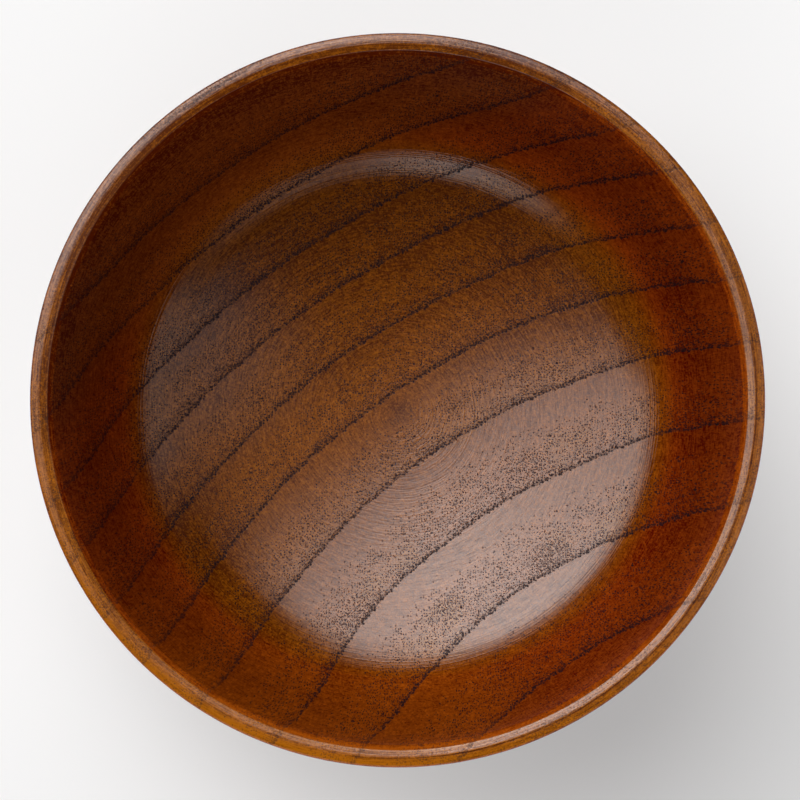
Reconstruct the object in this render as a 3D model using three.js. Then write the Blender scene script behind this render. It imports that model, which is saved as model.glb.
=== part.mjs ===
// Wooden soup bowl: an end-grain bowl turned on a lathe, a turned foot ring glued under it with a tongue and
// groove, and a clear lacquer film on every face but the one that it stands on.
// Units are millimetres, +Z is up, and the origin is the centre of the face that the foot stands on.

import * as THREE from 'three';

// Finished size
const BOWL_DIAMETER = 120;
const BOWL_HEIGHT = 67;
const LACQUER = 0.15;

// Inside of the bowl: a dished floor that turns up into a steep wall
const FLOOR_THICKNESS = 6;
const FLOOR_RADIUS = 39.5;
const FLOOR_DISH = 2.65;
const TURN_REACH = 12;
const INNER_WALL_REACH = 37;
const INNER_WALL_LEAN = THREE.MathUtils.degToRad(7);

// Lip: the arris above the wall is eased, a faint bevel rises from there, and a crown goes on from the bevel
// over the crest and falls to a tightly rounded rim. The crown's rise and drop are measured to its handle.
const LIP_WIDTH = 2.6;
const LIP_EASE_WIDTH = 0.75;
const LIP_EASE_DROP = 1;
const LIP_BEVEL_WIDTH = 1;
const LIP_BEVEL_RISE = 0.1;
const LIP_CROWN_RISE = 0.027;
const LIP_CROWN_DROP = 0.045;
const LIP_ROUND_WIDTH = 0.25;
const LIP_ROUND_DROP = 0.5;

// Outside of the bowl, measured from the inside: the wall below the lip and the hip under the turn
const WALL_THICKNESS = 3.3;
const HIP_WIDTH = 7.3;
const HIP_DEPTH = 5.8;

// Foot ring
const FOOT_DIAMETER = 62;
const FOOT_HEIGHT = 8;
const FOOT_WIDTH = 5;
const FOOT_FLARE = 1;
const FOOT_INNER_FLARE = 0.5;
const FOOT_CHAMFER = 0.6;

// Tongue on the foot ring, and the glue that fills its groove
const TONGUE_WIDTH = 2;
const TONGUE_HEIGHT = 2.5;
const GLUE = 0.2;

// Fineness of the turned faces
const TURNED_FACETS = 56;
const FLOOR_STEPS = 4;
const WALL_STEPS = 11;
const ROUND_STEPS = 4;

// Places worked out from the sizes, as points of radius and height
const point = (radius, height) => new THREE.Vector2(radius, height);
const rimRadius = BOWL_DIAMETER / 2 - LACQUER;
const rimTop = BOWL_HEIGHT - LACQUER;
const floorTop = FOOT_HEIGHT + FLOOR_THICKNESS;
const crestRise = LIP_CROWN_RISE ** 2 / (LIP_CROWN_RISE + LIP_CROWN_DROP);
const lipBevelTop = point(rimRadius - LIP_WIDTH + LIP_BEVEL_WIDTH, rimTop - crestRise);
const lipInnerEdge = point(lipBevelTop.x - LIP_BEVEL_WIDTH, lipBevelTop.y - LIP_BEVEL_RISE);
const wallTop = point(lipInnerEdge.x - LIP_EASE_WIDTH, lipInnerEdge.y - LIP_EASE_DROP);
const crownTop = lipBevelTop.y + LIP_CROWN_RISE;
const lipShoulder = point(rimRadius - LIP_ROUND_WIDTH, crownTop - LIP_CROWN_DROP);
const lipOuterEdge = point(rimRadius, lipShoulder.y - LIP_ROUND_DROP);

const footBaseRadius = FOOT_DIAMETER / 2 - LACQUER;
const footTopRadius = footBaseRadius - FOOT_FLARE;
const footInnerTopRadius = footTopRadius - FOOT_WIDTH;
const footInnerBaseRadius = footInnerTopRadius + FOOT_INNER_FLARE;
const tongueMiddle = footTopRadius - FOOT_WIDTH / 2;
const tongueOuterRadius = tongueMiddle + TONGUE_WIDTH / 2;
const tongueInnerRadius = tongueMiddle - TONGUE_WIDTH / 2;
const tongueTop = FOOT_HEIGHT + TONGUE_HEIGHT;
const grooveOuterRadius = tongueOuterRadius + GLUE;
const grooveInnerRadius = tongueInnerRadius - GLUE;
const grooveTop = tongueTop + GLUE;

// Handles that shape the turn and the walls
const floorSlope = Math.atan2(2 * FLOOR_DISH, FLOOR_RADIUS);
const turnStart = point(FLOOR_RADIUS, floorTop + FLOOR_DISH);
const turnHandle = point(
  turnStart.x + TURN_REACH * Math.cos(floorSlope),
  turnStart.y + TURN_REACH * Math.sin(floorSlope),
);
const innerWallHandle = point(
  wallTop.x - INNER_WALL_REACH * Math.sin(INNER_WALL_LEAN),
  wallTop.y - INNER_WALL_REACH * Math.cos(INNER_WALL_LEAN),
);
const outerWallHandle = point(innerWallHandle.x + WALL_THICKNESS, innerWallHandle.y - WALL_THICKNESS);
const hipHandle = point(turnHandle.x + HIP_WIDTH, turnHandle.y - HIP_DEPTH);
const footSeatEdge = point(footTopRadius, FOOT_HEIGHT);

// Puts stretches of an outline end to end, with each shared end kept once
function joinStretches(...stretches) {
  return stretches.flatMap((stretch, index) => (index === 0 ? stretch : stretch.slice(1)));
}

// Inside of the bowl from its axis to the top of the wall
function insideOutline() {
  const floorMiddle = point(0, floorTop);
  const floorHandle = point(FLOOR_RADIUS / 2, floorTop);
  const floor = new THREE.QuadraticBezierCurve(floorMiddle, floorHandle, turnStart);
  const wall = new THREE.CubicBezierCurve(turnStart, turnHandle, innerWallHandle, wallTop);
  return joinStretches(floor.getPoints(FLOOR_STEPS), wall.getPoints(WALL_STEPS));
}

// Lip from the top of the wall over the eased arris, the bevel and the crown to its outer edge. The round
// goes on from the shoulder at the slope where the crown ends.
function lipOutline() {
  const crownWidth = lipShoulder.x - lipBevelTop.x;
  const crownSlope = (2 * LIP_CROWN_DROP) / crownWidth;
  const crownHandle = point(lipBevelTop.x + crownWidth / 2, crownTop);
  const roundHandle = point(rimRadius, lipShoulder.y - LIP_ROUND_WIDTH * crownSlope);
  const crown = new THREE.QuadraticBezierCurve(lipBevelTop, crownHandle, lipShoulder);
  const round = new THREE.QuadraticBezierCurve(lipShoulder, roundHandle, lipOuterEdge);
  return joinStretches(
    [wallTop, lipInnerEdge, lipBevelTop],
    crown.getPoints(ROUND_STEPS),
    round.getPoints(ROUND_STEPS),
  );
}

// Outside of the bowl from the outer edge of the lip down to the seat of the foot ring
function outsideOutline() {
  const wall = new THREE.CubicBezierCurve(lipOuterEdge, outerWallHandle, hipHandle, footSeatEdge);
  return wall.getPoints(WALL_STEPS);
}

// Moves an outline to its left by a distance, mitred at its corners. An end on the axis stays on the axis.
function offsetOutline(outline, distance) {
  const mirrored = (corner) => point(-corner.x, corner.y);
  const last = outline.length - 1;
  return outline.map((corner, index) => {
    const onAxis = corner.x === 0;
    const before = index > 0 ? outline[index - 1] : onAxis ? mirrored(outline[1]) : null;
    const after = index < last ? outline[index + 1] : onAxis ? mirrored(outline[last - 1]) : null;
    const normals = [[before, corner], [corner, after]]
      .filter(([from, to]) => from && to)
      .map(([from, to]) => point(from.y - to.y, to.x - from.x).normalize());
    const firstNormal = normals[0];
    const lastNormal = normals[normals.length - 1];
    const mitre = firstNormal.clone().add(lastNormal);
    mitre.multiplyScalar(distance / (1 + firstNormal.dot(lastNormal)));
    return point(onAxis ? 0 : corner.x + mitre.x, corner.y + mitre.y);
  });
}

// Closed section between an outline and the face of the film that lies on its left
function filmSection(outline, filmFace) {
  const wayBack = [...filmFace].reverse();
  const startsOnAxis = outline[0].x === 0;
  const endsOnAxis = outline[outline.length - 1].x === 0;
  if (startsOnAxis) return [...outline, ...wayBack];
  if (endsOnAxis) return [...wayBack, ...outline];
  return [...outline, ...wayBack, outline[0]];
}

// One solid of revolution about +Z from a section that is listed anticlockwise
function turnedPiece(name, section, material) {
  const geometry = new THREE.LatheGeometry(section, TURNED_FACETS);
  geometry.rotateX(Math.PI / 2);
  const mesh = new THREE.Mesh(geometry, material);
  mesh.name = name;
  return mesh;
}

function makeBowlBody(wood) {
  const underside = [
    point(0, FOOT_HEIGHT),
    point(grooveInnerRadius, FOOT_HEIGHT),
    point(grooveInnerRadius, grooveTop),
    point(grooveOuterRadius, grooveTop),
    point(grooveOuterRadius, FOOT_HEIGHT),
    footSeatEdge,
  ];
  const upperFaces = joinStretches(insideOutline(), lipOutline(), outsideOutline()).reverse();
  return turnedPiece('bowl_body', joinStretches(underside, upperFaces), wood);
}

function makeFootRing(wood) {
  const section = [
    point(footInnerBaseRadius + FOOT_CHAMFER, 0),
    point(footBaseRadius - FOOT_CHAMFER, 0),
    point(footBaseRadius, FOOT_CHAMFER),
    footSeatEdge,
    point(tongueOuterRadius, FOOT_HEIGHT),
    point(tongueOuterRadius, tongueTop),
    point(tongueInnerRadius, tongueTop),
    point(tongueInnerRadius, FOOT_HEIGHT),
    point(footInnerTopRadius, FOOT_HEIGHT),
    point(footInnerBaseRadius, FOOT_CHAMFER),
  ];
  return turnedPiece('foot_ring', [...section, section[0]], wood);
}

function makeFootGlueLine(glue) {
  const section = [
    point(tongueOuterRadius, FOOT_HEIGHT),
    point(grooveOuterRadius, FOOT_HEIGHT),
    point(grooveOuterRadius, grooveTop),
    point(grooveInnerRadius, grooveTop),
    point(grooveInnerRadius, FOOT_HEIGHT),
    point(tongueInnerRadius, FOOT_HEIGHT),
    point(tongueInnerRadius, tongueTop),
    point(tongueOuterRadius, tongueTop),
  ];
  return turnedPiece('foot_glue_line', [...section, section[0]], glue);
}

// The inner film goes over the lip to its outer edge, and the outer film starts there and runs on down the
// foot. Both are cut from one offset outline, so that they meet edge to edge.
function makeLacquerCoats(lacquer) {
  const inner = joinStretches(insideOutline(), lipOutline());
  const outer = joinStretches(outsideOutline(), [footSeatEdge, point(footBaseRadius, FOOT_CHAMFER)]);
  const filmFace = offsetOutline(joinStretches(inner, outer), LACQUER);
  const innerFace = filmFace.slice(0, inner.length);
  const outerFace = filmFace.slice(inner.length - 1);
  const recess = [
    point(footInnerBaseRadius, FOOT_CHAMFER),
    point(footInnerTopRadius, FOOT_HEIGHT),
    point(0, FOOT_HEIGHT),
  ];
  return [
    turnedPiece('inner_lacquer_coat', filmSection(inner, innerFace), lacquer),
    turnedPiece('outer_lacquer_coat', filmSection(outer, outerFace), lacquer),
    turnedPiece('recess_lacquer_coat', filmSection(recess, offsetOutline(recess, LACQUER)), lacquer),
  ];
}

const bowlWood = new THREE.MeshStandardMaterial({ color: 0x6e3a12, roughness: 0.5, metalness: 0 });
const footWood = new THREE.MeshStandardMaterial({ color: 0x5e300f, roughness: 0.55, metalness: 0 });
const glue = new THREE.MeshStandardMaterial({ color: 0xc9a56a, roughness: 0.4, metalness: 0 });
const clearLacquer = new THREE.MeshStandardMaterial({
  color: 0xa8641e,
  roughness: 0.22,
  metalness: 0,
  transparent: true,
  opacity: 0.3,
});

const bowl = new THREE.Group();
bowl.name = 'wooden_soup_bowl';
bowl.add(makeBowlBody(bowlWood));
bowl.add(makeFootRing(footWood));
bowl.add(makeFootGlueLine(glue));
bowl.add(...makeLacquerCoats(clearLacquer));

export default bowl;
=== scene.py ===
"""Wooden soup bowl: an end-grain bowl turned on a lathe, with a glued foot ring, under clear lacquer.

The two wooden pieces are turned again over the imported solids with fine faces, get ring-porous wood under
lacquer, and are lit by studio lamps for a camera nearly straight above.
"""

import math

import bpy
from mathutils import Matrix, Vector
from mathutils.geometry import interpolate_bezier


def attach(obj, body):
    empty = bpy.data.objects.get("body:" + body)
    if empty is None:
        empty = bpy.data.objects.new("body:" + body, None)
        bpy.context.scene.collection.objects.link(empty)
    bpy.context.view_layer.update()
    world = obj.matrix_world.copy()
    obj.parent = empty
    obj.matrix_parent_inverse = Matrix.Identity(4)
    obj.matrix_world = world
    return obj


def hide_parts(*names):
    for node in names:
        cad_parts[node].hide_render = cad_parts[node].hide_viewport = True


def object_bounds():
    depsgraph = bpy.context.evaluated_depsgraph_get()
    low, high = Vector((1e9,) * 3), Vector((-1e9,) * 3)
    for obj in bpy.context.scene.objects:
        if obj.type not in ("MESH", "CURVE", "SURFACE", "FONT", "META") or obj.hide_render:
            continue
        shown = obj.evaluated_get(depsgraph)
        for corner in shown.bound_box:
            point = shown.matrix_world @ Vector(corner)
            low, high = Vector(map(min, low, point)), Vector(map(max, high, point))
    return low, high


bl_info = {
    "name": "Turned soup bowl",
    "version": (1, 0, 0),
    "blender": (4, 5, 0),
    "location": "View3D > Sidebar > Soup bowl",
    "description": "Turns a lacquered wooden soup bowl with its foot ring and sets it on a lit stage",
    "category": "Object",
}

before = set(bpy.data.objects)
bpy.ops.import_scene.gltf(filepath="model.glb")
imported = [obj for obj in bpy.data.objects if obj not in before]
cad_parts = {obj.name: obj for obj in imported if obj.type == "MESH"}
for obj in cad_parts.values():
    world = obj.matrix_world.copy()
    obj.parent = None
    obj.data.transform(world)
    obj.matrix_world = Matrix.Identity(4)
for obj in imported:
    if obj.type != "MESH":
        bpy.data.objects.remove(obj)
CAD_LOW, CAD_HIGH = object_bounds()

MM = 0.001
METRES_TO_MM = 1000.0
BODY = "root"

# Fineness of the turned pieces
TURN_STEPS = 256
FLOOR_STEPS = 20
WALL_STEPS = 60
ROUND_STEPS = 10
MERGE_DISTANCE = 0.001 * MM
ARRIS_SEGMENTS = 3
FACET_MARGIN = 0.2
SMOOTH_ANGLE = math.radians(35)

# Image that the camera is set for
IMAGE_PIXELS = 800
SENSOR_WIDTH = 36.0
CLIP_START = 10 * MM

# Middle of a noise's range and of a cell's chances
MIDDLE = 0.5

# Heights in millimetres below which each piece has no lacquer
BOWL_BARE_HEIGHT = -1.0
FOOT_BARE_HEIGHT = 0.15

# Sockets of the Mix node that belong to colours
MIX_FACTOR, MIX_FIRST, MIX_SECOND, MIX_RESULT = 0, 6, 7, 2


def length(name, description, millimetres):
    """A length that the user can change, given here in millimetres."""
    return bpy.props.FloatProperty(
        name=name, description=description, default=millimetres * MM, unit="LENGTH", precision=5)


def angle(name, description, degrees):
    """An angle that the user can change, given here in degrees."""
    return bpy.props.FloatProperty(
        name=name, description=description, default=math.radians(degrees), unit="ROTATION", subtype="ANGLE")


def colour(name, description, red, green, blue):
    """A linear colour that the user can change."""
    return bpy.props.FloatVectorProperty(
        name=name, description=description, default=(red, green, blue, 1.0), size=4, subtype="COLOR",
        min=0.0, max=1.0)


def number(name, description, value):
    """A plain number that the user can change."""
    return bpy.props.FloatProperty(name=name, description=description, default=value)


class BowlSizes(bpy.types.PropertyGroup):
    """Sizes of the bowl's wood, before the lacquer goes on"""

    lacquer: length("Lacquer", "Thickness of the clear film", 0.15)
    rim_diameter: length("Rim diameter", "Across the finished rim", 2 * CAD_HIGH.x * METRES_TO_MM)
    height: length("Height", "From the table to the crest of the lip", CAD_HIGH.z * METRES_TO_MM)
    floor_thickness: length("Floor thickness", "Wood above the foot ring's seat", 6)
    floor_radius: length("Floor radius", "Where the dished floor starts to turn up", 39.5)
    floor_dish: length("Floor dish", "Rise of the floor from its middle to the turn", 2.65)
    turn_reach: length("Turn reach", "How wide the floor turns into the wall", 12)
    wall_reach: length("Wall reach", "How far down the wall stays straight", 37)
    wall_lean: angle("Wall lean", "Outward lean of the top of the inside wall", 7)
    lip_width: length("Lip width", "From the bevel's inner edge to the rim", 2.6)
    lip_ease_width: length("Arris width", "Width of the eased arris above the wall", 0.75)
    lip_ease_drop: length("Arris drop", "Height of the eased arris above the wall", 1)
    lip_bevel_width: length("Bevel width", "Width of the faint bevel inside the crest", 1)
    lip_bevel_rise: length("Bevel rise", "Rise of the faint bevel to the crown", 0.1)
    lip_crown_rise: length("Crown rise", "Rise of the crown's handle above the bevel", 0.027)
    lip_crown_drop: length("Crown drop", "Fall from the crown's handle to the rounded rim", 0.045)
    lip_round_width: length("Round width", "Width of the tightly rounded rim", 0.25)
    lip_round_drop: length("Round drop", "Height of the tightly rounded rim", 0.5)
    wall_thickness: length("Wall thickness", "Offset of the outside wall's handle", 3.3)
    hip_width: length("Hip width", "Sideways offset of the outside hip's handle", 7.3)
    hip_depth: length("Hip depth", "Downward offset of the outside hip's handle", 5.8)
    arris_round: length("Arris round", "Softening of each turned arris", 0.1)


class FootSizes(bpy.types.PropertyGroup):
    """Sizes of the foot ring's wood, before the lacquer goes on"""

    diameter: length("Foot diameter", "Across the finished foot at the table", 62)
    height: length("Foot height", "From the table to the seat under the bowl", 8)
    width: length("Foot width", "Thickness of the ring at its seat", 5)
    flare: length("Flare", "Outward spread of the outer side", 1)
    inner_flare: length("Inner flare", "Outward spread of the inner side", 0.5)
    chamfer: length("Chamfer", "Bevel beside the standing face", 0.6)
    tongue_width: length("Tongue width", "Width of the tongue in the bowl's groove", 2)
    tongue_height: length("Tongue height", "Height of the tongue above the seat", 2.5)
    glue: length("Glue", "Gap between the tongue and the groove", 0.2)


class WoodColours(bpy.types.PropertyGroup):
    """Colours of the wood under its lacquer"""

    end_deep: colour("Deep end grain", "Darkest wood that is cut across its fibres", 0.082, 0.0160, 0.0005)
    end_pale: colour("Pale end grain", "Palest wood that is cut across its fibres", 0.350, 0.102, 0.0025)
    side_deep: colour("Deep side grain", "Darkest wood that is cut along its fibres", 0.086, 0.0030, 0.0003)
    side_pale: colour("Pale side grain", "Palest wood that is cut along its fibres", 0.355, 0.0600, 0.0042)
    sap_deep: colour("Deep sapwood", "Darkest side grain of the outer years", 0.078, 0.0070, 0.0006)
    sap_pale: colour("Pale sapwood", "Palest side grain of the outer years", 0.325, 0.0760, 0.0080)
    pore: colour("Pores", "Open vessels, filled with dark lacquer", 0.011, 0.009, 0.012)
    bare: colour("Standing face", "Wood that has no lacquer", 0.32, 0.17, 0.075)


class StageSettings(bpy.types.PropertyGroup):
    """Camera, lamps and floor"""

    camera_distance: length("Camera distance", "From the middle of the rim to the camera", 650)
    camera_tilt: angle("Camera tilt", "Lean of the view away from straight down", 2.65)
    camera_turn: angle("Camera turn", "Way that the view leans, from -Y towards +X", 9.46)
    rim_pixels: number("Rim radius in pixels", "Radius of the rim in the image", 368.0)
    rim_column: number("Rim column", "Image column of the middle of the rim", 397.3)
    rim_row: number("Rim row", "Image row of the middle of the rim", 398.6)
    floor_size: length("Floor size", "Side of the square floor", 6000)
    floor_colour: colour("Floor colour", "White paper under the bowl", 0.91, 0.91, 0.91)
    floor_glow: number("Floor glow", "Share of the floor that the camera sees without its shadow", 0.29)
    ceiling: number("Ceiling", "Brightness of the dark room overhead", 0.02)
    backdrop: number("Backdrop", "Brightness of the white backdrop round the stage", 0.9)
    main_lamp: number("Main lamp", "Brightness of the large softbox behind the bowl on the left", 7.5)
    front_lamp: number("Front lamp", "Brightness of the low softbox in front", 2.0)
    right_lamp: number("Right lamp", "Brightness of the reflector on the right", 0.85)


class Value:
    """One output socket of a shader. Python's arithmetic on it adds Math nodes."""

    def __init__(self, recipe, socket):
        self.recipe = recipe
        self.socket = socket

    def also(self, output):
        """Another output of the same node."""
        return Value(self.recipe, self.socket.node.outputs[output])

    def math(self, operation, *operands):
        return self.recipe.node("ShaderNodeMath", {"operation": operation}, dict(enumerate(operands)))

    def __add__(self, other):
        return self.math("ADD", self, other)

    def __radd__(self, other):
        return self.math("ADD", other, self)

    def __sub__(self, other):
        return self.math("SUBTRACT", self, other)

    def __rsub__(self, other):
        return self.math("SUBTRACT", other, self)

    def __mul__(self, other):
        return self.math("MULTIPLY", self, other)

    def __rmul__(self, other):
        return self.math("MULTIPLY", other, self)

    def __truediv__(self, other):
        return self.math("DIVIDE", self, other)

    def __lt__(self, other):
        return self.math("LESS_THAN", self, other)

    def __gt__(self, other):
        return self.math("GREATER_THAN", self, other)

    def root(self):
        return self.math("SQRT", self)

    def size(self):
        return self.math("ABSOLUTE", self)

    def larger(self, other):
        return self.math("MAXIMUM", self, other)

    def angle_to(self, other):
        """Angle of a point whose height is this value and whose reach is the other."""
        return self.math("ARCTAN2", self, other)


class Recipe:
    """The nodes of one material or world."""

    def __init__(self, owner):
        owner.use_nodes = True
        self.owner = owner
        self.tree = owner.node_tree
        self.tree.nodes.clear()

    def node(self, kind, settings, sockets, output=0):
        """Adds a node, sets it up, feeds its sockets with numbers or links, and returns one output."""
        made = self.tree.nodes.new(kind)
        for setting, value in settings.items():
            setattr(made, setting, value)
        for key, value in sockets.items():
            if isinstance(value, Value):
                self.tree.links.new(value.socket, made.inputs[key])
            else:
                made.inputs[key].default_value = value
        return Value(self, made.outputs[output] if made.outputs else None)

    def place(self):
        """Object coordinates in millimetres, as a vector."""
        coordinates = self.node("ShaderNodeTexCoord", {}, {}, "Object")
        return self.times(coordinates, METRES_TO_MM)

    def axes(self, vector):
        """The three numbers of a vector."""
        x = self.node("ShaderNodeSeparateXYZ", {}, {0: vector})
        return x, x.also(1), x.also(2)

    def vector(self, x, y, z):
        return self.node("ShaderNodeCombineXYZ", {}, {0: x, 1: y, 2: z})

    def step(self, value, low, high):
        """Rises smoothly from 0 at low to 1 at high, or falls where low is the larger."""
        settings = {"interpolation_type": "SMOOTHSTEP"}
        if low < high:
            return self.node("ShaderNodeMapRange", settings, {0: value, 1: low, 2: high, 3: 0.0, 4: 1.0})
        return self.node("ShaderNodeMapRange", settings, {0: value, 1: high, 2: low, 3: 1.0, 4: 0.0})

    def fade(self, value, zone):
        """Rises smoothly from 0 at the zone's first value to its strength at the second."""
        low, high, strength = zone
        return self.step(value, low, high) * strength

    def noise(self, vector, size, detail):
        """Noise from 0 to 1 with lumps of about that size, in the vector's units."""
        sockets = {"Vector": vector, "Scale": 1 / size, "Detail": detail}
        return self.node("ShaderNodeTexNoise", {"noise_dimensions": "3D"}, sockets)

    def ripple(self, vector, size, detail):
        """The same noise about 0."""
        return self.noise(vector, size, detail) - MIDDLE

    def mix(self, factor, first, second):
        """Blend of two colours."""
        return self.node(
            "ShaderNodeMix", {"data_type": "RGBA"},
            {MIX_FACTOR: factor, MIX_FIRST: first, MIX_SECOND: second}, MIX_RESULT)

    def times(self, vector, factor):
        """A vector or a colour times a number."""
        return self.node("ShaderNodeVectorMath", {"operation": "SCALE"}, {0: vector, "Scale": factor})


# Growth of the tree: the pith lies outside the bowl, and each width is one year's wood
PITH = (68.5, -99.9)
FIRST_RING = 39.85
RING_WIDTHS = (13.2, 14.5, 15.7, 14.6, 13.9, 12.7, 10.4, 10.6, 9.1, 10.5, 10.3, 16.0, 9.0)
WIDEST_RING = 19.0
RING_NARROWING = 0.06
RING_LEVEL = 14.0
GRAIN_TAPER = 0.0997
GRAIN_TWIST = (-0.00115, 0.00221)
GRAIN_BOW = -0.00055
MEAN_RING_RADIUS = 120.0
SAPWOOD = (158, 170)
RAY_PITCH = (0.7, 2.8)

# Waviness of the rings: the size of the waves and the span of their push
WAVE_SIZE, WAVE_PUSH = 17.0, 0.9
RIPPLE_SIZE, RIPPLE_PUSH = 2.4, 0.5

# Swing of the rings towards the pith at the right of the lip
SWING_HEIGHT = (42, 66)
SWING_SIDE = (36, 52, 1.0)

# Bends of the rings: the middle, how far the bend reaches and how far it pushes the rings outwards
BEND_FADE = 1.5
RING_BENDS = (
    ((44, 2), 12, 0.9),
    ((53, 21), 6, -0.6),
    ((44, 31), 9, -0.7),
    ((14, 52), 10, -0.8),
    ((-16, -51), 12, -1.1),
    ((-53, 8), 10, 0.7),
)


class Growth:
    """How the wood at a place grew, across its fibres and through its year"""

    def __init__(self, recipe, place):
        x, y, z = recipe.axes(place)
        across = x - PITH[0]
        along = y - PITH[1]
        height = z - RING_LEVEL
        lean = GRAIN_TAPER + x * GRAIN_TWIST[0] + y * GRAIN_TWIST[1] + height * GRAIN_BOW
        flat_distance = (across * across + along * along).root()
        wave = recipe.ripple(place, WAVE_SIZE, detail=1.0) * WAVE_PUSH
        ripple = recipe.ripple(place, RIPPLE_SIZE, detail=1.0) * RIPPLE_PUSH
        swing = recipe.step(z, *SWING_HEIGHT) * recipe.fade(x, SWING_SIDE)
        self.distance = flat_distance + height * lean + wave + ripple + swing
        for middle, reach, push in RING_BENDS:
            off_x = x - middle[0]
            off_y = y - middle[1]
            bend = recipe.step((off_x * off_x + off_y * off_y).root(), BEND_FADE * reach, 0.0)
            self.distance = self.distance - bend * push
        stretch = self.distance / flat_distance
        self.section = recipe.vector(across * stretch, along * stretch, 0.0)
        self.around = along.angle_to(across) * MEAN_RING_RADIUS
        line = FIRST_RING
        self.from_line = self.distance - line
        self.to_line = self.distance - (line + RING_WIDTHS[0])
        for width, next_width in zip(RING_WIDTHS, RING_WIDTHS[1:]):
            line += width
            passed = self.distance > line
            self.from_line = self.from_line - passed * width
            self.to_line = self.to_line - passed * next_width
        self.year = self.from_line / (WIDEST_RING - self.distance * RING_NARROWING)
        self.rays = recipe.noise(self.grid(recipe, RAY_PITCH), size=1.0, detail=0.0)
        self.sap = recipe.step(self.distance, *SAPWOOD)

    def grid(self, recipe, pitch):
        """A place across the years and round them, each times a pitch."""
        return recipe.vector(self.distance * pitch[0], self.around * pitch[1], 0.0)


# Kinds of vessels: the spacing of their cells, their radius and how dark the faintest is
ROW_VESSELS = (0.48, 0.19, 0.9)
SMALL_VESSELS = (0.33, 0.12, 0.65)
COMMON_VESSELS = (0.45, 0.12, 0.68)
RARE_VESSELS = (1.0, 0.18, 0.7)
NEST_VESSELS = (0.37, 0.12, 0.6)

# Form of the vessels: how far their cells stray, the smallest size with its spread, and the soft edge
CELL_SCATTER = 0.8
SMALLEST_SIZE, SIZE_SPREAD = 0.75, 0.5
SOFT_EDGE = (1.2, 0.8)


class Cells:
    """Cells of the wood's section at a spacing in millimetres, with chances that hold all over a cell"""

    def __init__(self, recipe, growth, spacing):
        scattered = {"Vector": growth.section, "Scale": 1 / spacing, "Randomness": CELL_SCATTER}
        nearest = recipe.node("ShaderNodeTexVoronoi", {"voronoi_dimensions": "2D"}, scattered)
        middle = nearest.also("Position")
        middle_distance = recipe.node("ShaderNodeVectorMath", {"operation": "LENGTH"}, {0: middle}, "Value")
        self.reach = nearest * spacing
        self.outward = middle_distance - growth.distance
        self.first = recipe.node("ShaderNodeSeparateColor", {}, {0: nearest.also("Color")})
        self.second = self.first.also(1)
        self.third = self.first.also(2)

    def dots(self, recipe, kind, chance):
        """Dots of cut vessels, from the faintest to 1 in the darkest, each kept with a chance."""
        radius, faintest = kind[1:]
        reach = self.reach / (self.second * SIZE_SPREAD + SMALLEST_SIZE)
        inside = recipe.step(reach, radius * SOFT_EDGE[0], radius * SOFT_EDGE[1])
        return inside * (self.first < chance) * (self.third * self.third * (1 - faintest) + faintest)


# Rows of vessels on a year's line: how far past the line they lie, and their reach to either side
ROW_PLACE = 0.25
ROW_REACH = (0.46, 0.24)


def vessels(recipe, growth, kind, chance):
    """Dots of one kind of vessel all over the section."""
    return Cells(recipe, growth, kind[0]).dots(recipe, kind, chance)


def row_vessels(recipe, growth, kind, chance):
    """Whole dots whose middles lie on a year's line, in a row one or two dots wide."""
    cells = Cells(recipe, growth, kind[0])
    after = recipe.step((growth.from_line + cells.outward - ROW_PLACE).size(), *ROW_REACH)
    before = recipe.step((growth.to_line + cells.outward - ROW_PLACE).size(), *ROW_REACH)
    return cells.dots(recipe, kind, after.larger(before) * chance)


# Places where many vessels lie close together: the middle, then the reach along the rings and across them
NESTS = (
    ((26.5, -25.2), 6, 3.2),
    ((8, -35), 6, 3.0),
    ((-6, -33.5), 4, 2.4),
    ((-10, -37), 4, 2.6),
    ((22.5, -10), 6, 2.4),
)
COMB_NEST = NESTS[0]
NEST_EDGE = (1.0, 0.4)
NEST_RAGGEDNESS = 1.2
NEST_CHANCE = 0.7

# Clumps of vessels: their pitch and detail, and how dense they are where patches start and are full
CLUMP_PITCH, CLUMP_DETAIL = (0.5, 0.2), 3.0
PATCH_CLUMPS = (0.30, 0.60)
RARE_CLUMPS = (0.46, 0.78)

# Chance of a vessel outside the clumps, and how much the clumps add to it
ROW_CHANCE, ROW_CLUMPING = 0.80, 0.3
SMALL_CHANCE, SMALL_CLUMPING = 0.36, 0.5
PATCH_CHANCE, PATCH_CLUMPING = 0.25, 0.75

# Parts of the year: the first two in millimetres past its line, the third as shares of the year
BESIDE_LINE = (2.2, 0.8)
LINE_SHADE = (0.70, 0.30, 0.28)
VESSEL_TIME = (0.86, 0.42)

# Comb of rays that shows in one nest
COMB_RAYS = (0.50, 0.62)
COMB_SHADE = 0.45


def nest(recipe, surface, clumps, place):
    """1 inside a nest of vessels, with a ragged edge."""
    middle, reach_along, reach_across = place
    outward = Vector((middle[0] - PITH[0], middle[1] - PITH[1])).normalized()
    off_x = surface.x - middle[0]
    off_y = surface.y - middle[1]
    across = (off_x * outward.x + off_y * outward.y) / reach_across
    along = (off_y * outward.x - off_x * outward.y) / reach_along
    reach = (across * across + along * along).root() + (clumps - MIDDLE) * NEST_RAGGEDNESS
    return recipe.step(reach, *NEST_EDGE)


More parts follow.
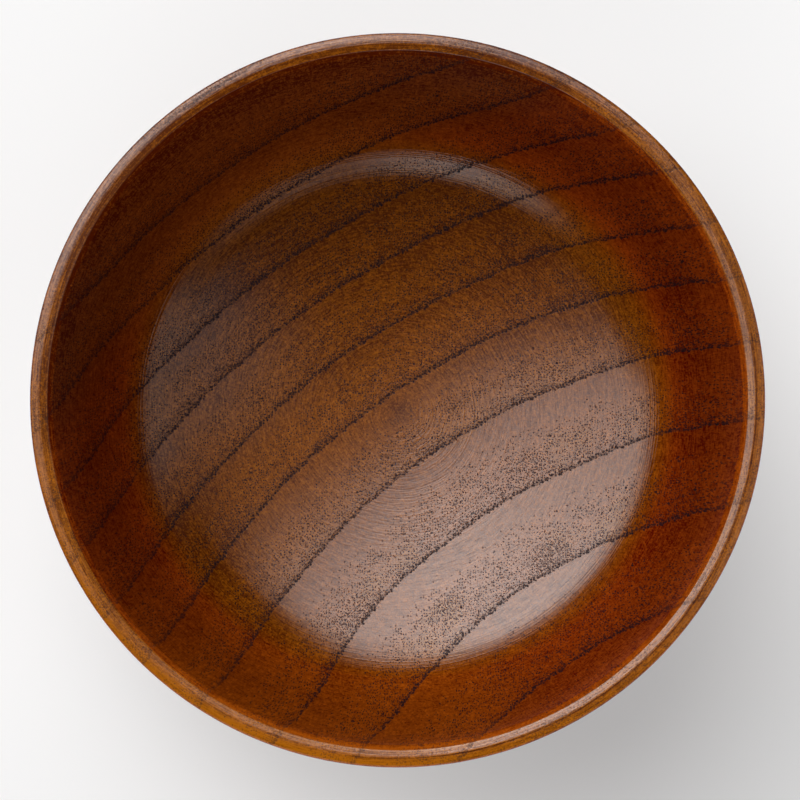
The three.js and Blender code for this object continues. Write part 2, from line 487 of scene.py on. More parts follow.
def all_vessels(recipe, growth, surface):
    """A row of wide vessels at the start of each year, many common ones, a few wide ones and some nests."""
    clumps = recipe.noise(growth.grid(recipe, CLUMP_PITCH), size=1.0, detail=CLUMP_DETAIL)
    beside_line = recipe.step(growth.from_line, *BESIDE_LINE) * (SMALL_CHANCE + clumps * SMALL_CLUMPING)
    spread = recipe.step(growth.year, *VESSEL_TIME)
    patchy = spread * (PATCH_CHANCE + recipe.step(clumps, *PATCH_CLUMPS) * PATCH_CLUMPING)
    clumped = spread * recipe.step(clumps, *RARE_CLUMPS)
    nested = 0.0
    for place in NESTS:
        nested = nested + nest(recipe, surface, clumps, place)
    pores = recipe.fade(growth.from_line, LINE_SHADE)
    pores = pores.larger(row_vessels(recipe, growth, ROW_VESSELS, ROW_CHANCE + clumps * ROW_CLUMPING))
    pores = pores.larger(vessels(recipe, growth, SMALL_VESSELS, beside_line))
    pores = pores.larger(vessels(recipe, growth, COMMON_VESSELS, patchy))
    pores = pores.larger(vessels(recipe, growth, RARE_VESSELS, clumped))
    pores = pores.larger(vessels(recipe, growth, NEST_VESSELS, nested * NEST_CHANCE))
    comb = recipe.step(growth.rays, *COMB_RAYS) * nest(recipe, surface, clumps, COMB_NEST)
    return pores.larger(comb * COMB_SHADE)


# Zones of a turned surface, by the way it faces, from none of the zone to all of it
INSIDE_WALL_FACING = (-0.60, -0.90)
FLAT_FACING = (0.45, 0.97)
ARRIS_FACING = (0.95, 0.75)

# Zones of a turned surface, by its place in millimetres, from none of the zone to all of it
BARE_FADE = 0.1
LIP_FADE = (1.1, 0.1)
TURN_START, TURN_END = (38, 45), (52, 47.5)
FLOOR_EDGE_START, FLOOR_EDGE_END = (39, 44), (51, 47)
LEFT_SIDE = (30, -10)
GOLDEN_NEAR, GOLDEN_LEFT = (-20, -50), (32, 5)


class Surface:
    """Where a place lies on a turned piece, in millimetres, and its share of each zone, from 0 to 1"""

    def __init__(self, recipe, bare_height, lip_height):
        self.place = recipe.place()
        self.x, self.y, self.z = recipe.axes(self.place)
        self.radius = (self.x * self.x + self.y * self.y).root()
        normal = recipe.node("ShaderNodeNewGeometry", {}, {}, "Normal")
        normal_x, normal_y, upward = recipe.axes(normal)
        outward = (self.x * normal_x + self.y * normal_y) / self.radius
        self.inside_wall = recipe.step(outward, *INSIDE_WALL_FACING)
        self.flat = recipe.step(upward.size(), *FLAT_FACING)
        self.bare = recipe.step(self.z, bare_height, bare_height - BARE_FADE)
        self.lip = recipe.step(self.z, lip_height - LIP_FADE[0], lip_height - LIP_FADE[1])
        self.eased_arris = self.lip * recipe.step(upward, *ARRIS_FACING)
        self.turn = recipe.step(self.radius, *TURN_START) * recipe.step(self.radius, *TURN_END)
        edge = recipe.step(self.radius, *FLOOR_EDGE_START)
        self.floor_edge = edge * recipe.step(self.radius, *FLOOR_EDGE_END)
        self.left = recipe.step(self.x, *LEFT_SIDE)
        self.golden = recipe.step(self.y, *GOLDEN_NEAR) * recipe.step(self.x, *GOLDEN_LEFT)


# Marks of the tool and the brush: lumps per millimetre across the rings, up the wall and along the rings
OFF_AXIS = (1.0, 5.0)
STREAK_ACROSS, STREAK_UP, STREAK_ALONG = 4.2, 0.9, 0.7
GROOVE_ACROSS, GROOVE_ALONG = 3.6, 0.03
LIP_ACROSS, LIP_ALONG = 5.0, 0.12


class ToolMarks:
    """Rings left by the turning tool and the brush, as noise about 0"""

    def __init__(self, recipe, surface):
        x, y, z, radius = surface.x, surface.y, surface.z, surface.radius
        off_axis = recipe.step(radius, *OFF_AXIS)
        brushed = recipe.vector(
            radius * STREAK_ACROSS + z * STREAK_UP, x * STREAK_ALONG, y * STREAK_ALONG)
        turned = recipe.vector((radius + z) * GROOVE_ACROSS, x * GROOVE_ALONG, y * GROOVE_ALONG)
        round_lip = recipe.vector(radius * LIP_ACROSS, x * LIP_ALONG, y * LIP_ALONG)
        self.streaks = recipe.ripple(brushed, size=1.0, detail=0.0) * off_axis
        self.grooves = recipe.ripple(turned, size=1.0, detail=0.0) * off_axis
        self.lip_lines = recipe.ripple(round_lip, size=1.0, detail=1.0)


# Dark marks of the wood, and painted shade and painted light on it: where each starts, where it is full and
# how strong it is
AXIS_SHADE = (4.0, 0.0, 0.25)
FAR_FLOOR_PAINTED_SHADE = (-5, 32, 0.25)
NEAR_LEFT_PAINTED_SHADE = (-40, -62, 0.20)
LEFT_FLOOR_PAINTED_SHADE = (-18, -36, 0.12)
LATE_WOOD_SHADE = (0.55, 0.85, 0.10)
WALL_TOP_PAINTED_SHADE = (48, 62, 0.24)
NEAR_TURN, NEAR_TURN_PAINTED_SHADE = (5, -25), (-40, -10, 0.08)
FAR_LEFT_TURN_PAINTED_LIGHT = (40, 65, 0.18)
FAR_TURN_PAINTED_LIGHT = (10, 35, 0.18)
WALL_FOOT, WALL_MIDDLE, RIGHT_WALL_PAINTED_SHADE = (47, 50), (55, 52), (35, 47, 0.15)


def dark_marks_and_painted_shade(recipe, growth, surface):
    """How much darker the wood is than its mean tone: its own dark turning centre and late wood, with painted
    shade and painted light on the floor, the turn and the wall.
    """
    x, y, flat, radius = surface.x, surface.y, surface.flat, surface.radius
    shade = recipe.fade(radius, AXIS_SHADE)
    # Painted shade on the far side of the floor, where the wall shades it from the lamps
    shade = shade + flat * recipe.fade(y, FAR_FLOOR_PAINTED_SHADE)
    # Painted shade on the floor to the near left and the left
    shade = shade + flat * recipe.fade(x + y, NEAR_LEFT_PAINTED_SHADE)
    shade = shade + flat * recipe.fade(x, LEFT_FLOOR_PAINTED_SHADE)
    shade = shade + recipe.fade(growth.year, LATE_WOOD_SHADE)
    # Painted shade at the top of the wall in the outer years, where the wall darkens under the lip
    shade = shade + growth.sap * (1 - surface.lip) * recipe.fade(surface.z, WALL_TOP_PAINTED_SHADE)
    # Painted shade on the near side of the turn and painted light on its far side
    near_turn_painted_shade = recipe.step(y, *NEAR_TURN) * recipe.fade(x, NEAR_TURN_PAINTED_SHADE)
    far_turn_painted_light = recipe.fade(y - x, FAR_LEFT_TURN_PAINTED_LIGHT) + recipe.fade(y, FAR_TURN_PAINTED_LIGHT)
    # Painted shade low on the right wall
    low_wall = recipe.step(radius, *WALL_FOOT) * recipe.step(radius, *WALL_MIDDLE)
    return shade + surface.turn * (near_turn_painted_shade - far_turn_painted_light) + low_wall * recipe.fade(x, RIGHT_WALL_PAINTED_SHADE)


# Tones of the lip against the wall's, with the line round its right and the arris inside it
LIP_LIGHT = 0.10
LEFT_LIP_LIGHT = 0.24
OUTER_LEFT_LIGHT = (58.0, 59.2, 0.28)
FAR_RIGHT_LIGHT = (64, 80, 0.18)
SAP_LIP_SHADE = 0.30
LIP_LINES_TONE = 1.2
LIP_LINE_RADIUS, LIP_LINE_EDGE, LIP_LINE_SHADE = 58.55, (0.20, 0.04), (30, 60, 0.45)
ARRIS_SHADE, ARRIS_LIGHT = 0.42, (-35, 75, 0.55)


def lip_tone(recipe, growth, surface, marks):
    """How much paler the lip is than the wall, with lines round it and one dark line on its right."""
    x, y, radius = surface.x, surface.y, surface.radius
    line = recipe.step((radius - LIP_LINE_RADIUS).size(), *LIP_LINE_EDGE) * recipe.fade(x - y, LIP_LINE_SHADE)
    left = surface.left * LEFT_LIP_LIGHT + surface.left * recipe.fade(radius, OUTER_LEFT_LIGHT)
    pale = LIP_LIGHT + left + recipe.fade(x + y, FAR_RIGHT_LIGHT)
    pale = pale - growth.sap * SAP_LIP_SHADE + marks.lip_lines * LIP_LINES_TONE - line
    arris = recipe.fade(x - y, ARRIS_LIGHT) - ARRIS_SHADE
    return surface.lip * pale + surface.eased_arris * arris


# Grain of the wood: the size of each kind of lump and how much it changes the tone
SPARKLE_SPACING, SPARKLE_MEAN, SPARKLE_TONE = 0.30, 0.33, 0.34
FIBRE_SIZE, FIBRE_TONE = 0.27, 0.72
PATCH_SIZE, PATCH_HEIGHT_SHARE, PATCH_TONE = 2.6, 0.2, 0.25
CLOUD_SIZE, CLOUD_TONE = 14.0, 0.25
MEAN_TONE = 0.5
RAY_TONE = 0.3
EARLY_SHADE = (3.0, 0.6, 0.05)
GOLDEN_LIGHT, GOLDEN_END_GRAIN = 0.12, 0.35
STREAK_TONE = 0.6
GROOVE_TONE = 0.2


def wood_tone(recipe, growth, surface, marks, sparkle):
    """Tone of the wood, from 0 in the deepest to 1 in the palest."""
    fibres = recipe.ripple(growth.section, FIBRE_SIZE, detail=1.0)
    section = recipe.vector(growth.distance, growth.around, surface.z * PATCH_HEIGHT_SHARE)
    patches = recipe.ripple(section, PATCH_SIZE, detail=1.0)
    clouds = recipe.ripple(surface.place, CLOUD_SIZE, detail=2.0)
    tone = MEAN_TONE + (sparkle * sparkle - SPARKLE_MEAN) * SPARKLE_TONE
    tone = tone + fibres * FIBRE_TONE + (growth.rays - MIDDLE) * RAY_TONE
    tone = tone + patches * PATCH_TONE + clouds * CLOUD_TONE - recipe.fade(growth.from_line, EARLY_SHADE)
    tone = tone + surface.golden * GOLDEN_LIGHT + marks.streaks * STREAK_TONE + marks.grooves * GROOVE_TONE
    return tone - dark_marks_and_painted_shade(recipe, growth, surface) + lip_tone(recipe, growth, surface, marks)


# Lacquer, and how strongly the pores darken and dull it
PORE_DEPTH = 0.95
SHINY_ROUGHNESS = 0.13
MATT_ROUGHNESS = 0.6
LACQUER_IOR = 1.55

# Gloss of the lacquer: its mean, what takes it away and what the marks change
MEAN_GLOSS = 0.95
WALL_DULLNESS = 0.88
SAP_LIP_DULLNESS = 0.25
NEAR_LEFT_DULLNESS = (-46, -58, 0.45)
STREAK_GLOSS, GROOVE_GLOSS = 0.35, 0.3
LIP_LINES_GLOSS, LIP_SPARKLE_GLOSS = 0.8, 0.3


def wood_colour(recipe, colours, growth, surface, tone, pores):
    """Colour of the wood: end grain where it is cut flat, side grain on the walls, sapwood and pores."""
    side_deep = recipe.mix(growth.sap, tuple(colours.side_deep), tuple(colours.sap_deep))
    side_pale = recipe.mix(growth.sap, tuple(colours.side_pale), tuple(colours.sap_pale))
    side_wood = recipe.mix(tone, side_deep, side_pale)
    end_wood = recipe.mix(tone, tuple(colours.end_deep), tuple(colours.end_pale))
    wood = recipe.mix(surface.flat.larger(surface.golden * GOLDEN_END_GRAIN), side_wood, end_wood)
    wood = recipe.mix(pores * PORE_DEPTH, wood, tuple(colours.pore))
    return recipe.mix(surface.bare, wood, tuple(colours.bare))


def lacquer_gloss(recipe, growth, surface, marks, sparkle, pores):
    """Share of the lacquer that shines: little on the inside wall and none in the pores or on bare wood."""
    gloss = (1 - pores * PORE_DEPTH) * (1 - surface.bare) * (1 - surface.inside_wall * WALL_DULLNESS)
    gloss = gloss * (1 - surface.lip * growth.sap * SAP_LIP_DULLNESS)
    speckle = surface.lip * (marks.lip_lines * LIP_LINES_GLOSS + (sparkle - MIDDLE) * LIP_SPARKLE_GLOSS)
    gloss = gloss * (MEAN_GLOSS + marks.streaks * STREAK_GLOSS + marks.grooves * GROOVE_GLOSS + speckle)
    return gloss * (1 - surface.flat * recipe.fade(surface.x + surface.y, NEAR_LEFT_DULLNESS))


# Where the pores fade: on the left of the wall, up the wall and on the lip
LEFT_FADING = (0, -40, 0.18)
UPPER_FADING = (48, 64, 0.25)
LIP_FADING = 0.4

# Relief of the surface in metres, and how much of it the marks and the pores take up
RELIEF = 0.02 * MM
STREAK_RELIEF = 0.25
GROOVE_RELIEF, FLOOR_EDGE_RELIEF = 0.3, 1.6
PORE_RELIEF = 0.15


def lacquer_relief(recipe, surface, marks, pores):
    """Normals of the surface with its brush streaks, grooves and sunken pores."""
    grooves = marks.grooves * (GROOVE_RELIEF + surface.floor_edge * FLOOR_EDGE_RELIEF)
    height = marks.streaks * STREAK_RELIEF + grooves - pores * PORE_RELIEF
    return recipe.node("ShaderNodeBump", {}, {"Strength": 1.0, "Distance": RELIEF, "Height": height})


def lacquered_wood(name, colours, bare_height, lip_height):
    """Ring-porous wood under clear lacquer, bare below one height and paler on the lip."""
    recipe = Recipe(bpy.data.materials.new(name))
    surface = Surface(recipe, bare_height, lip_height)
    growth = Growth(recipe, surface.place)
    marks = ToolMarks(recipe, surface)
    sparkle = Cells(recipe, growth, SPARKLE_SPACING).first
    fading = recipe.fade(surface.x, LEFT_FADING) + recipe.fade(surface.z, UPPER_FADING)
    pores = all_vessels(recipe, growth, surface) * (1 - surface.lip * LIP_FADING)
    pores = pores * (1 - (1 - surface.flat) * fading)
    tone = wood_tone(recipe, growth, surface, marks, sparkle)
    wood = wood_colour(recipe, colours, growth, surface, tone, pores)
    gloss = lacquer_gloss(recipe, growth, surface, marks, sparkle, pores)
    bump = lacquer_relief(recipe, surface, marks, pores)
    matt = recipe.node("ShaderNodeBsdfPrincipled", {}, {
        "Base Color": wood,
        "Roughness": MATT_ROUGHNESS,
        "Normal": bump,
        "Specular IOR Level": 0.0,
    })
    shiny = recipe.node("ShaderNodeBsdfPrincipled", {}, {
        "Base Color": wood,
        "Roughness": SHINY_ROUGHNESS,
        "Normal": bump,
        "IOR": LACQUER_IOR,
    })
    shader = recipe.node("ShaderNodeMixShader", {}, {0: gloss, 1: matt, 2: shiny})
    recipe.node("ShaderNodeOutputMaterial", {}, {0: shader})
    return recipe.owner


def point(radius, height):
    """A point of a turned outline."""
    return Vector((radius, height))


def join_stretches(*stretches):
    """Stretches of an outline end to end, with each shared end kept once."""
    outline = list(stretches[0])
    for stretch in stretches[1:]:
        outline += stretch[1:]
    return outline


def round_over(start, corner, end, steps):
    """A rounded corner: it leaves start and reaches end along the sides of the corner."""
    pull = 2 / 3
    return interpolate_bezier(start, start.lerp(corner, pull), end.lerp(corner, pull), end, steps + 1)


def facet(start, end):
    """A flat stretch with a point near each end, which keeps the shading of its arrises off its middle."""
    return [start, start.lerp(end, FACET_MARGIN), end.lerp(start, FACET_MARGIN), end]


def lacquered(outline, film):
    """An outline moved to its left by the lacquer's thickness, mitred at its corners."""
    moved = []
    for index, corner in enumerate(outline):
        sides = []
        if index > 0:
            sides.append(corner - outline[index - 1])
        if index < len(outline) - 1:
            sides.append(outline[index + 1] - corner)
        normals = [Vector((-side.y, side.x)).normalized() for side in sides]
        mitre = normals[0] + normals[-1]
        moved.append(corner + mitre * (film / (1 + normals[0].dot(normals[-1]))))
    return moved


class BowlOutline:
    """The bowl's corners and stretches, as points of radius and height on the bare wood"""

    def __init__(self, sizes, foot):
        rim = sizes.rim_diameter / 2 - sizes.lacquer
        top = sizes.height - sizes.lacquer
        self.foot = foot
        self.lacquer = sizes.lacquer
        self.floor_middle = foot.height + sizes.floor_thickness
        self.floor_radius = sizes.floor_radius
        self.floor_dish = sizes.floor_dish
        crown_rise, crown_drop = sizes.lip_crown_rise, sizes.lip_crown_drop
        crest = crown_rise * crown_rise / (crown_rise + crown_drop)
        self.bevel_top = point(rim - sizes.lip_width + sizes.lip_bevel_width, top - crest)
        self.bevel_edge = self.bevel_top - point(sizes.lip_bevel_width, sizes.lip_bevel_rise)
        self.wall_top = self.bevel_edge - point(sizes.lip_ease_width, sizes.lip_ease_drop)
        handle_radius = (self.bevel_top.x + rim - sizes.lip_round_width) / 2
        self.crown_handle = point(handle_radius, self.bevel_top.y + crown_rise)
        self.shoulder = point(rim - sizes.lip_round_width, self.crown_handle.y - crown_drop)
        crown_slope = crown_drop / (self.shoulder.x - self.crown_handle.x)
        self.rim_corner = point(rim, self.shoulder.y - sizes.lip_round_width * crown_slope)
        self.rim_edge = point(rim, self.shoulder.y - sizes.lip_round_drop)
        self.turn = point(sizes.floor_radius, self.floor_middle + sizes.floor_dish)
        slope = math.atan2(2 * sizes.floor_dish, sizes.floor_radius)
        self.turn_handle = self.turn + point(math.cos(slope), math.sin(slope)) * sizes.turn_reach
        lean = point(math.sin(sizes.wall_lean), math.cos(sizes.wall_lean))
        self.wall_handle = self.wall_top - lean * sizes.wall_reach
        self.outer_wall_handle = self.wall_handle + point(sizes.wall_thickness, -sizes.wall_thickness)
        self.hip_handle = self.turn_handle + point(sizes.hip_width, -sizes.hip_depth)
        self.seat_edge = point(foot.diameter / 2 - sizes.lacquer - foot.flare, foot.height)

    def inside(self):
        shares = [step / FLOOR_STEPS for step in range(FLOOR_STEPS + 1)]
        floor = [point(self.floor_radius * s, self.floor_middle + self.floor_dish * s * s) for s in shares]
        wall = interpolate_bezier(
            self.turn, self.turn_handle, self.wall_handle, self.wall_top, WALL_STEPS + 1)
        return join_stretches(floor, wall)

    def lip(self):
        ease = facet(self.wall_top, self.bevel_edge)
        bevel = facet(self.bevel_edge, self.bevel_top)
        crown = round_over(self.bevel_top, self.crown_handle, self.shoulder, ROUND_STEPS)
        round_side = round_over(self.shoulder, self.rim_corner, self.rim_edge, ROUND_STEPS)
        return join_stretches(ease, bevel, crown, round_side)

    def outside(self):
        return interpolate_bezier(
            self.rim_edge, self.outer_wall_handle, self.hip_handle, self.seat_edge, WALL_STEPS + 1)

    def finished(self):
        """The lacquered outline from the axis over the lip to the seat, and back along the underside."""
        foot = self.foot
        upper = lacquered(join_stretches(self.inside(), self.lip(), self.outside()), self.lacquer)
        upper[0].x = 0.0
        upper[-1].y = foot.height
        middle = self.seat_edge.x - foot.width / 2
        groove_outer = middle + foot.tongue_width / 2 + foot.glue
        groove_inner = middle - foot.tongue_width / 2 - foot.glue
        groove_top = foot.height + foot.tongue_height + foot.glue
        recess_edge = self.seat_edge.x - foot.width
        underside = [
            point(groove_outer, foot.height),
            point(groove_outer, groove_top),
            point(groove_inner, groove_top),
            point(groove_inner, foot.height),
            point(recess_edge, foot.height),
            point(recess_edge - self.lacquer, foot.height - self.lacquer),
            point(0.0, foot.height - self.lacquer),
        ]
        return upper + underside

    def arrises(self):
        """Finished corners of the lip that are softened."""
        upper = lacquered(join_stretches(self.inside(), self.lip()), self.lacquer)
        wall_top = len(self.inside()) - 1
        bevel_edge = wall_top + len(facet(self.wall_top, self.bevel_edge)) - 1
        bevel_top = bevel_edge + len(facet(self.bevel_edge, self.bevel_top)) - 1
        return [upper[wall_top], upper[bevel_edge], upper[bevel_top]]


def foot_outline(foot, film):
    """The lacquered outline of the foot ring, closed on itself, with its standing face left bare."""
    base = foot.diameter / 2 - film
    seat = base - foot.flare
    inner_seat = seat - foot.width
    inner_base = inner_seat + foot.inner_flare
    middle = seat - foot.width / 2
    tongue_outer = middle + foot.tongue_width / 2
    tongue_inner = middle - foot.tongue_width / 2
    tongue_top = foot.height + foot.tongue_height
    return [
        point(inner_base + foot.chamfer, 0.0),
        point(base - foot.chamfer, 0.0),
        point(base + film, foot.chamfer),
        point(seat + film, foot.height),
        point(tongue_outer, foot.height),
        point(tongue_outer, tongue_top),
        point(tongue_inner, tongue_top),
        point(tongue_inner, foot.height),
        point(inner_seat - film, foot.height),
        point(inner_base - film, foot.chamfer),
        point(inner_base + foot.chamfer, 0.0),
    ]


def turn_on_lathe(name, outline):
    """A solid of revolution: the outline is drawn corner by corner and spun round the axis."""
    bpy.ops.object.select_all(action="DESELECT")
    bpy.ops.mesh.primitive_plane_add(size=MM)
    piece = bpy.context.object
    piece.name = name
    piece.data.name = name
    bpy.ops.object.mode_set(mode="EDIT")
    bpy.ops.mesh.select_mode(type="VERT")
    bpy.ops.mesh.select_all(action="SELECT")
    bpy.ops.mesh.merge(type="CENTER")
    bpy.ops.transform.translate(value=(outline[0].x, 0.0, outline[0].y))
    for before, corner in zip(outline, outline[1:]):
        move = (corner.x - before.x, 0.0, corner.y - before.y)
        bpy.ops.mesh.extrude_vertices_move(TRANSFORM_OT_translate={"value": move})
    bpy.ops.mesh.select_all(action="SELECT")
    bpy.ops.mesh.spin(steps=TURN_STEPS, angle=math.tau, center=(0.0, 0.0, 0.0), axis=(0.0, 0.0, 1.0))
    bpy.ops.mesh.select_all(action="SELECT")
    bpy.ops.mesh.remove_doubles(threshold=MERGE_DISTANCE)
    bpy.ops.mesh.normals_make_consistent(inside=False)
    bpy.ops.object.mode_set(mode="OBJECT")
    return piece


def soften_arrises(piece, corners, width):
    """Bevels the turned edges that lie on the given corners of the outline."""
    mesh = piece.data

    def on_corner(vertex):
        place = point(math.hypot(vertex.co.x, vertex.co.y), vertex.co.z)
        return any((place - corner).length < MERGE_DISTANCE for corner in corners)

    bpy.ops.object.mode_set(mode="EDIT")
    bpy.ops.mesh.select_mode(type="EDGE")
    bpy.ops.mesh.select_all(action="DESELECT")
    bpy.ops.object.mode_set(mode="OBJECT")
    chosen = {vertex.index for vertex in mesh.vertices if on_corner(vertex)}
    for edge in mesh.edges:
        first, second = (mesh.vertices[index] for index in edge.vertices)
        level = abs(first.co.z - second.co.z) < MERGE_DISTANCE
        edge.select = first.index in chosen and second.index in chosen and level
    bpy.ops.object.mode_set(mode="EDIT")
    bpy.ops.mesh.bevel(offset=width, segments=ARRIS_SEGMENTS, affect="EDGES")
    bpy.ops.object.mode_set(mode="OBJECT")


def finish_piece(piece, material, nodes):
    """Smooths a piece, gives it its material and ties it to the frame."""
    bpy.ops.object.select_all(action="DESELECT")
    piece.select_set(True)
    bpy.context.view_layer.objects.active = piece
    bpy.ops.object.shade_smooth_by_angle(angle=SMOOTH_ANGLE)
    piece.data.materials.append(material)
    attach(piece, BODY)
    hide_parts(*nodes)


class SOUPBOWL_OT_turn_bowl(bpy.types.Operator):
    """Turns the bowl with its dished floor, steep wall and bevelled lip, under its lacquer"""

    bl_idname = "soupbowl.turn_bowl"
    bl_label = "Turn the bowl"

    def execute(self, context):
        scene = context.scene
        outline = BowlOutline(scene.bowl_sizes, scene.foot_sizes)
        piece = turn_on_lathe("turned_bowl", outline.finished())
        soften_arrises(piece, outline.arrises(), scene.bowl_sizes.arris_round)
        lip_height = outline.bevel_edge.y * METRES_TO_MM
        wood = lacquered_wood("lacquered_bowl_wood", scene.wood_colours, BOWL_BARE_HEIGHT, lip_height)
        finish_piece(piece, wood, ["bowl_body", "inner_lacquer_coat", "outer_lacquer_coat"])
        return {"FINISHED"}


class SOUPBOWL_OT_turn_foot(bpy.types.Operator):
    """Turns the foot ring with its flared sides and the tongue that is glued into the bowl"""

    bl_idname = "soupbowl.turn_foot"
    bl_label = "Turn the foot ring"

    def execute(self, context):
        scene = context.scene
        outline = foot_outline(scene.foot_sizes, scene.bowl_sizes.lacquer)
        piece = turn_on_lathe("turned_foot_ring", outline)
        lip_height = scene.bowl_sizes.height * METRES_TO_MM
        wood = lacquered_wood("lacquered_foot_wood", scene.wood_colours, FOOT_BARE_HEIGHT, lip_height)
        finish_piece(piece, wood, ["foot_ring", "foot_glue_line", "recess_lacquer_coat"])
        return {"FINISHED"}


# Painted shade on the paper: where each starts, where it is full and how much darker it is
PAPER_RIGHT_PAINTED_SHADE = (55, 145, 0.14)
PAPER_NEAR_PAINTED_SHADE = (-30, -90, 0.06)


def white_paper(stage):
    """Matt white paper with painted shade away from the main lamp, and a painted glow for the camera that
    fills in part of its shadow.
    """
    recipe = Recipe(bpy.data.materials.new("white_paper"))
    x, y = recipe.axes(recipe.place())[:2]
    # Painted shade towards the near right and the near side
    dim = recipe.fade(x - y, PAPER_RIGHT_PAINTED_SHADE) + recipe.fade(y, PAPER_NEAR_PAINTED_SHADE)
    shade = recipe.times(tuple(stage.floor_colour)[:3], 1 - dim)
    paper = recipe.node("ShaderNodeBsdfDiffuse", {}, {"Color": shade})
    # Painted glow for the camera, which fills in part of the bowl's shadow
    painted_glow = recipe.node("ShaderNodeEmission", {}, {"Color": shade})
    camera = recipe.node("ShaderNodeLightPath", {}, {}, "Is Camera Ray")
    seen = camera.larger(camera.also("Is Glossy Ray")).larger(camera.also("Is Transmission Ray"))
    shader = recipe.node("ShaderNodeMixShader", {}, {0: seen * stage.floor_glow, 1: paper, 2: painted_glow})
    recipe.node("ShaderNodeOutputMaterial", {}, {0: shader})
    return recipe.owner


def lay_floor(stage):
    bpy.ops.object.select_all(action="DESELECT")
    bpy.ops.mesh.primitive_plane_add(size=stage.floor_size)
    floor = bpy.context.object
    floor.name = "paper_floor"
    floor.data.materials.append(white_paper(stage))


# Patches of the lamps in degrees: corner, turn, spread, near and far, then the lamp and a share of it
LAMP_PATCHES = (
    ((5, 0.3), 131, (60, 42), (5, 14), (72, 28), "main_lamp", 0.49),
    ((5, 0.3), 127, (50, 0), (4, 13), (72, 28), "main_lamp", 0.57),
    ((0, 0), 252, (32, 4), (18, 40), (90, 60), "front_lamp", 1.0),
    ((0, 0), 288, (45, 10), (18, 40), (90, 60), "front_lamp", 0.3),
    ((0, 0), 0, (38, 14), (2, 9), (88, 50), "right_lamp", 1.0),
)

# Where the backdrop starts and where it is full, as the upward share of a direction
BACKDROP_EDGE = (0.30, 0.10)


def lamp(recipe, way, corner, turn, spread, near, far):
    """A lamp's patch of the sky: 1 inside it and 0 outside, with each edge soft between two angles.

    The angles are in degrees. The corner is where the lamp's sides meet, as leans towards +X and +Y. The turn
    goes from +X towards +Y about that corner and the spread to either side of it, near is away from the
    corner and far leans from straight up.
    """
    x, y, rise = recipe.axes(way)
    x = x / rise - math.tan(math.radians(corner[0]))
    y = y / rise - math.tan(math.radians(corner[1]))
    turn = math.radians(turn)
    ahead = x * math.cos(turn) + y * math.sin(turn)
    aside = y * math.cos(turn) - x * math.sin(turn)
    swing = aside.angle_to(ahead).size()
    away = (x * x + y * y).root()
    lean = rise.math("ARCCOSINE", rise)
    patch = recipe.step(swing, math.radians(spread[0]), math.radians(spread[1]))
    patch = patch * recipe.step(away, math.tan(math.radians(near[0])), math.tan(math.radians(near[1])))
    return patch * recipe.step(lean, math.radians(far[0]), math.radians(far[1]))


def light_room(stage):
    """A dark room with three lamps and a white backdrop all round at the horizon."""
    world = bpy.data.worlds.new("studio_room")
    bpy.context.scene.world = world
    recipe = Recipe(world)
    way = recipe.node("ShaderNodeTexCoord", {}, {}, "Generated")
    rise = recipe.axes(way)[2]
    backdrop = recipe.step(rise, *BACKDROP_EDGE) * (stage.backdrop - stage.ceiling)
    level = stage.ceiling + backdrop
    for corner, turn, spread, near, far, setting, share in LAMP_PATCHES:
        patch = lamp(recipe, way, corner, turn, spread, near, far)
        level = level + patch * (getattr(stage, setting) * share)
    light = recipe.node("ShaderNodeBackground", {}, {"Strength": level})
    recipe.node("ShaderNodeOutputWorld", {}, {0: light})


def axes_matrix(right, up, back):
    """A rotation whose X, Y and Z axes are the given directions."""
    return Matrix((right, up, back)).transposed().to_4x4()


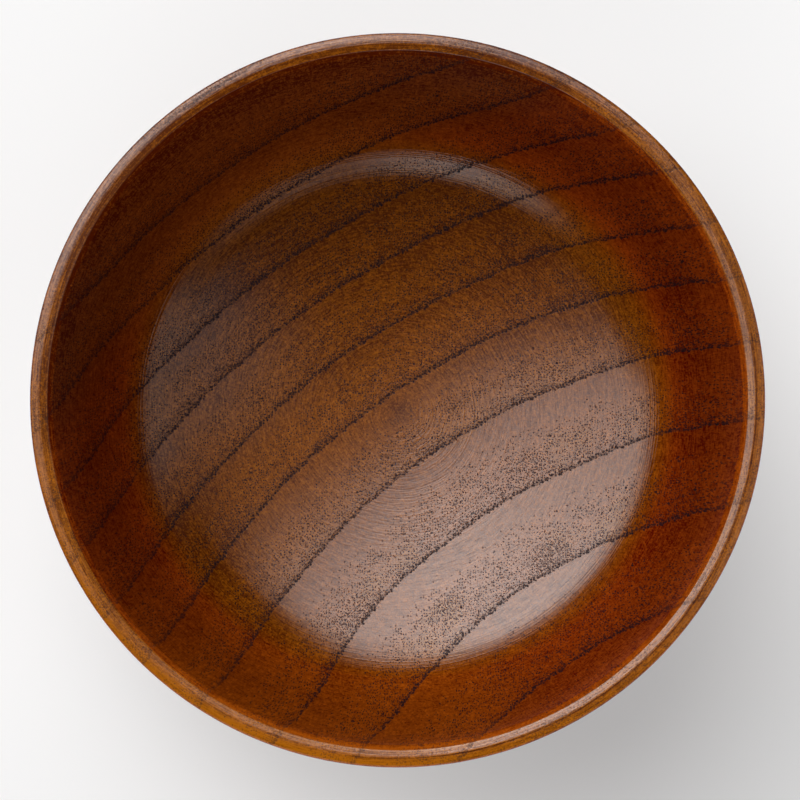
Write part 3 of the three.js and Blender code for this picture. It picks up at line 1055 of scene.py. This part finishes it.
def set_camera(stage, rim):
    """Looks down at the middle of the rim from a little below the image's middle."""
    tilt, turn = stage.camera_tilt, stage.camera_turn
    back = Vector((math.sin(tilt) * math.sin(turn), -math.sin(tilt) * math.cos(turn), math.cos(tilt)))
    right = Vector((0.0, 1.0, 0.0)).cross(back).normalized()
    up = back.cross(right)
    pixel = rim.x / stage.rim_pixels
    centre = Vector((0.0, 0.0, rim.y)) + back * stage.camera_distance
    centre += right * (IMAGE_PIXELS / 2 - stage.rim_column) * pixel
    centre += up * (stage.rim_row - IMAGE_PIXELS / 2) * pixel
    data = bpy.data.cameras.new("studio_camera")
    data.sensor_width = SENSOR_WIDTH
    data.lens = stage.rim_pixels * stage.camera_distance / rim.x * SENSOR_WIDTH / IMAGE_PIXELS
    data.clip_start = CLIP_START
    camera = bpy.data.objects.new("studio_camera", data)
    bpy.context.scene.collection.objects.link(camera)
    camera.matrix_world = Matrix.Translation(centre) @ axes_matrix(right, up, back)
    bpy.context.scene.camera = camera


class SOUPBOWL_OT_set_stage(bpy.types.Operator):
    """Lays the white floor, lights the room and sets the camera"""

    bl_idname = "soupbowl.set_stage"
    bl_label = "Set the stage"

    def execute(self, context):
        stage = context.scene.bowl_stage
        lay_floor(stage)
        light_room(stage)
        set_camera(stage, point(CAD_HIGH.x, CAD_HIGH.z))
        context.scene.view_settings.view_transform = "Standard"
        return {"FINISHED"}


class SOUPBOWL_PT_bowl(bpy.types.Panel):
    """The bowl's pieces and their sizes"""

    bl_idname = "SOUPBOWL_PT_bowl"
    bl_label = "Soup bowl"
    bl_space_type = "VIEW_3D"
    bl_region_type = "UI"
    bl_category = "Soup bowl"

    def draw(self, context):
        for operator in OPERATORS:
            self.layout.operator(operator.bl_idname)
        for group in PROPERTIES:
            settings = getattr(context.scene, group)
            box = self.layout.box()
            for name in settings.__annotations__:
                box.prop(settings, name)


OPERATORS = (SOUPBOWL_OT_turn_bowl, SOUPBOWL_OT_turn_foot, SOUPBOWL_OT_set_stage)
PROPERTIES = {
    "bowl_sizes": BowlSizes,
    "foot_sizes": FootSizes,
    "wood_colours": WoodColours,
    "bowl_stage": StageSettings,
}


def register():
    for group in PROPERTIES.values():
        bpy.utils.register_class(group)
    for name, group in PROPERTIES.items():
        setattr(bpy.types.Scene, name, bpy.props.PointerProperty(type=group))
    for operator in OPERATORS:
        bpy.utils.register_class(operator)
    bpy.utils.register_class(SOUPBOWL_PT_bowl)


def unregister():
    bpy.utils.unregister_class(SOUPBOWL_PT_bowl)
    for operator in reversed(OPERATORS):
        bpy.utils.unregister_class(operator)
    for name in PROPERTIES:
        delattr(bpy.types.Scene, name)
    for group in reversed(PROPERTIES.values()):
        bpy.utils.unregister_class(group)


def main():
    register()
    bpy.ops.soupbowl.turn_bowl()
    bpy.ops.soupbowl.turn_foot()
    bpy.ops.soupbowl.set_stage()


if __name__ == "__main__":
    main()
